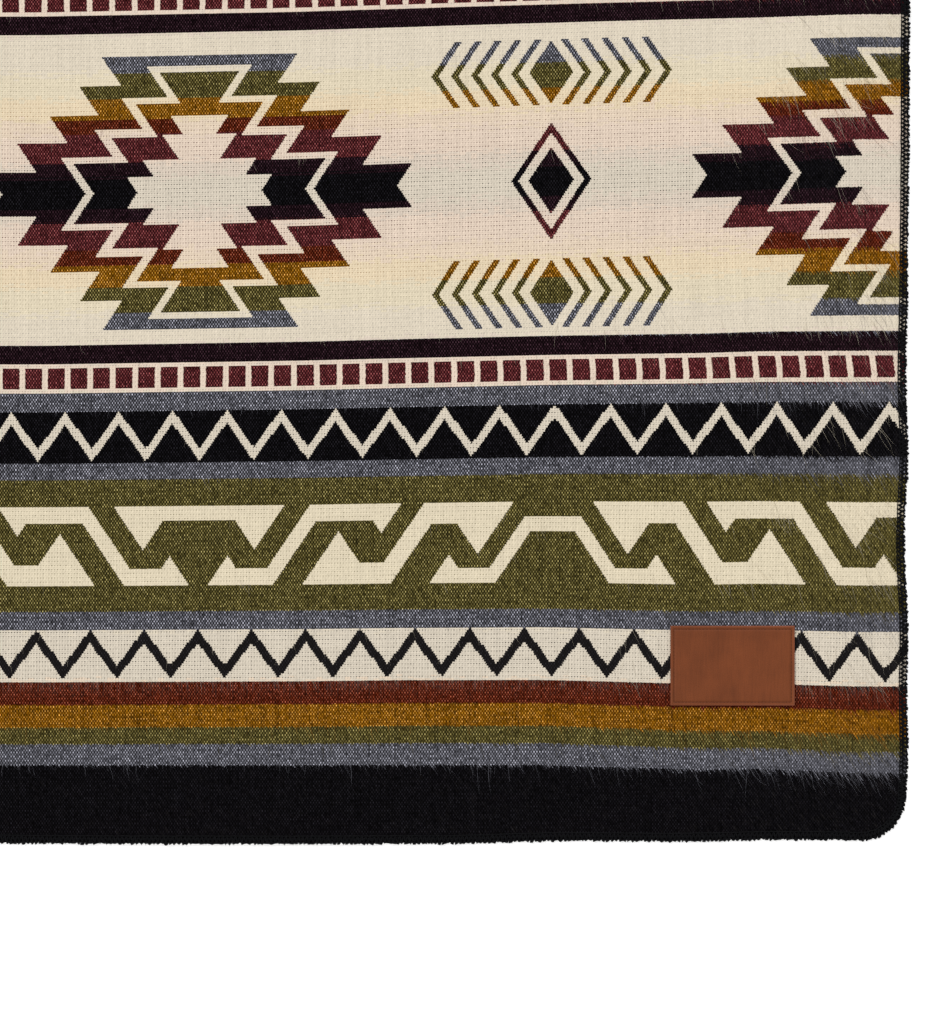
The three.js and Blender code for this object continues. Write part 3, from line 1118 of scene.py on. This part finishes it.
def woven_material():
    """The double weave: coloured yarn in its bands, or cream over it."""
    material, tree, shader = new_material("woven_wool", 0.95, 0.0)
    weave = Weave(tree)
    band = band_yarn(weave)
    color = mix(cream_share(weave), colored_face(weave, band), cream_face(weave, band))
    tree.links.new(color, shader.inputs["Base Color"])
    add_bump(shader, weave.lattice * 0.4 + weave.streak * weave.nap * 2, 0.2)
    return material


def position_fields(tree):
    """A point's place in millimetres."""
    position = add_node(tree, "NewGeometry", {}).outputs["Position"]
    return [part * 1000 for part in parts_of(tree, position)]


def yarn_material(name, color):
    """Matt plied yarn, darker in places, with its plies as a fine bump and as painted light and shade,
    lighter on their crests.
    """
    material, tree, shader = new_material(name, 0.9, 0.1, sheen=0.02)
    x, y, z = position_fields(tree)
    mottle = noise(x * 0.9 + z, y * 0.9, detail=2.0)
    plies = wave((x + y) * 1.4 + z * 0.8)
    # The plies also brighten the colour on their crests: painted light and shade that follows the bump
    tree.links.new(scale_color(color, 1 + mottle * 1.1 + plies * 0.2), shader.inputs["Base Color"])
    add_bump(shader, plies, 0.12)
    return material


def fibre_material(name, color):
    """Wool fibres of uneven brightness, the cream ones duller than their yarn."""
    dark = name in ("black", "aubergine")
    material, tree, shader = new_material(f"fibre_{name}", 0.8, 0.05 if dark else 0.25, sheen=0.05)
    x, y, z = position_fields(tree)
    tone = luck(floor(x * 0.5), floor(y * 0.5 + z))
    gain = 0.55 + tone * 0.3 if name == "cream" else 0.8 + tone * (0.5 if dark else 1.5)
    tree.links.new(scale_color(color, gain), shader.inputs["Base Color"])
    return material


def leather_material():
    """Brown leather with a fine grain, darker in the pressed line, and paler at its rim: partly its pale
    cut edge, partly a painted highlight that grows towards the right.
    """
    material, tree, shader = new_material("label_leather", 0.55, 0.18)
    x, y, _ = position_fields(tree)
    low, high = (corner.tolist() for corner in (LABEL_LOW, LABEL_HIGH))
    inside = least(least(x - low[0], high[0] - x), least(y - low[1], high[1] - y))
    grain = noise(x, y, (1.7, 1.7), detail=3.0)
    cloud = noise(x, y, (0.06, 0.05), detail=2.0)
    drag = noise(x, y, (0.9, 0.06))
    across = (x - low[0]) / (high[0] - low[0])
    tone = 1.02 + grain * 0.5 + cloud * 0.45 + drag * 0.25 + (across - 0.5) * 0.1
    toned = scale_color(LEATHER, tone)
    line = ~smooth_step(abs(inside - GROOVE_IN), 0.1, 0.35)
    # Paler rim, partly the pale cut edge and partly a painted highlight that grows towards the right
    rim = ~smooth_step(inside, 0.1, 1.1)
    toned = mix(rim * (0.12 + across * 0.25), toned, CUT_EDGE_AND_HIGHLIGHT_LEATHER)
    tree.links.new(mix(line * 0.5, toned, PRESSED_LEATHER), shader.inputs["Base Color"])
    add_bump(shader, grain, 0.12)
    return material


def floor_material():
    """A white studio floor, plain but for a trace of unevenness."""
    material, tree, shader = new_material("floor_white", 0.9, 0.0)
    x, y, _ = position_fields(tree)
    tone = noise(x, y, (0.004, 0.004)) * 0.01 + FLOOR_WHITE
    tree.links.new(scale_color((1.0, 1.0, 1.0), tone), shader.inputs["Base Color"])
    shader.inputs["Emission Color"].default_value = (1, 1, 1, 1)
    shader.inputs["Emission Strength"].default_value = FLOOR_GLOW
    return material


# The floor, the light and the camera

FLOOR_REACH = 6000
FLOOR_WHITE = 0.93
FLOOR_GLOW = 0.5
SKY_STRENGTH = 0.62
SUN_STRENGTH = 1.75
SUN_SPREAD = 28
SUN_TILT = (-34, -30, 0)

PIXEL = 0.65
PICTURE = (948, 1024)
OUTER_EDGE_PX = (909.3, 844)
LENS, SENSOR = 85, 36


def make_floor():
    corners = np.array([(-1, -1, 0), (1, -1, 0), (1, 1, 0), (-1, 1, 0)]) * FLOOR_REACH
    floor_piece = add_piece("floor", corners, [np.array([[0, 1, 2, 3]])], floor_material())


def make_light():
    """Even light from all round, with a soft sun from the upper left for the relief."""
    scene = bpy.context.scene
    world = bpy.data.worlds.new("studio")
    world.use_nodes = True
    background = world.node_tree.nodes["Background"]
    background.inputs["Color"].default_value = (1, 1, 1, 1)
    background.inputs["Strength"].default_value = SKY_STRENGTH
    scene.world = world
    scene.view_settings.view_transform = "Standard"
    sun = bpy.data.lights.new("soft_sun", "SUN")
    sun.energy = SUN_STRENGTH
    sun.angle = np.radians(SUN_SPREAD)
    lamp = bpy.data.objects.new("soft_sun", sun)
    lamp.rotation_euler = np.radians(SUN_TILT)
    scene.collection.objects.link(lamp)


def make_camera():
    """Straight above the labelled corner, framed as in the photo."""
    middle_x = WIDTH / 2 - (OUTER_EDGE_PX[0] - PICTURE[0] / 2) * PIXEL
    middle_y = -LENGTH / 2 + (OUTER_EDGE_PX[1] - PICTURE[1] / 2) * PIXEL
    camera = bpy.data.cameras.new("camera")
    camera.lens = LENS
    camera.sensor_fit = "VERTICAL"
    camera.sensor_height = SENSOR
    camera.clip_end = 50
    eye = bpy.data.objects.new("camera", camera)
    distance = PICTURE[1] * PIXEL * LENS / SENSOR
    eye.location = (middle_x * MM, middle_y * MM, (distance + CLOTH_THICKNESS) * MM)
    bpy.context.scene.collection.objects.link(eye)
    bpy.context.scene.camera = eye


make_camera()
make_light()
make_floor()

edge_line = EdgeLine()
edge_yarn = yarn_material("edge_yarn", EDGE_YARN)
sheet = make_cloth(woven_material())
wraps = make_wraps(edge_line, edge_yarn)
lines = make_edge_lines(edge_line, edge_yarn)
fibres = make_fibres()
label = make_label(leather_material())
stitches = make_label_stitches(yarn_material("label_thread", LABEL_THREAD))

for piece, slot in [(sheet, "woven_wool"), (wraps, "edging_yarn"), (lines, "edging_yarn"),
                    (label, "label_leather"), (stitches, "label_leather"),
                    *[(piece, "woven_wool") for piece in fibres]]:
    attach(piece, "root")
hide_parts("woven_cloth")
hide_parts("edge_overlock")
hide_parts("leather_label")
